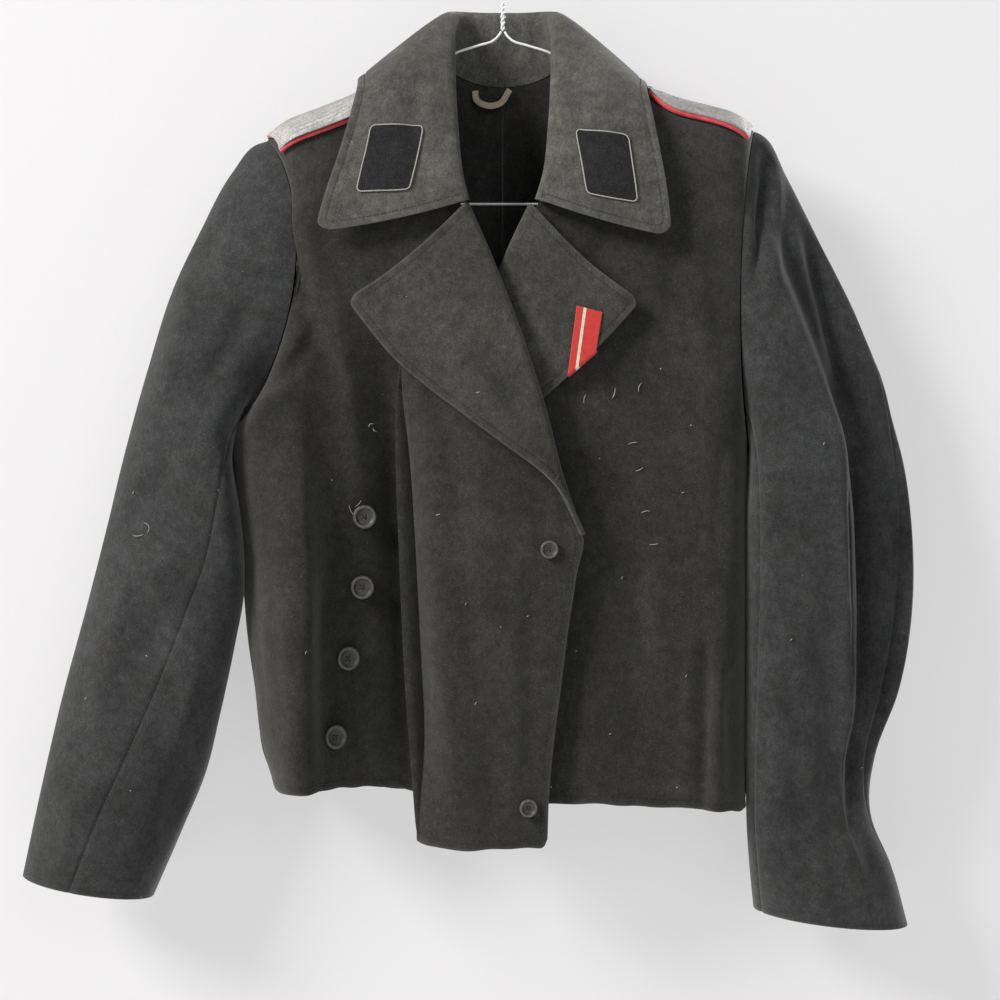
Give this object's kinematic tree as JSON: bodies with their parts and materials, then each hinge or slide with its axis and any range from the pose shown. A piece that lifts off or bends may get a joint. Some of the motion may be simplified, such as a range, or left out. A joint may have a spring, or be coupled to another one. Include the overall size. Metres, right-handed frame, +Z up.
{
  "type": "combat tunic on a wire hanger",
  "caption": "Short wool tunic with wide collar and lapels, lapped across the chest and open at the neck, hung with its long sleeves loose on a plain wire hanger.",
  "frame": {"origin": "inner top of the hanger's hook, where a rail or wall hook carries it", "axes": "+Z up, the tunic's front faces -Y and its back the wall at +Y, +X towards the wearer's left"},
  "size_m": [0.7525, 0.1277, 0.8377],
  "materials": {
    "wool": "thick felted wool in melange field grey",
    "patch_cloth": "plain black wool",
    "braid": "woven silver-grey braid with lengthwise grooves",
    "piping": "pink-red wool piping",
    "ribbon": "woven red ribbon",
    "button": "dark dull button",
    "tape": "beige cotton tape",
    "wire": "white-coated wire"
  },
  "bodies": {
    "root": {"back_left": "wool", "back_right": "wool", "button_1": "button", "button_2": "button", "button_3": "button", "button_4": "button", "button_hem": "button", "button_top": "button", "collar": "wool", "collar_patch_left": "patch_cloth", "collar_patch_right": "patch_cloth", "front_left": "wool", "front_right": "wool", "hanger_arm_left": "wire", "hanger_arm_right": "wire", "hanger_bar": "wire", "hanger_hook": "wire", "hanger_stem": "wire", "hanging_loop": "tape", "lapel_left": "wool", "lapel_right": "wool", "ribbon": "ribbon", "sleeve_top_left": "wool", "sleeve_top_right": "wool", "sleeve_under_left": "wool", "sleeve_under_right": "wool", "strap_braid_left": "braid", "strap_braid_right": "braid", "strap_underlay_left": "piping", "strap_underlay_right": "piping"}
  },
  "joints": []
}
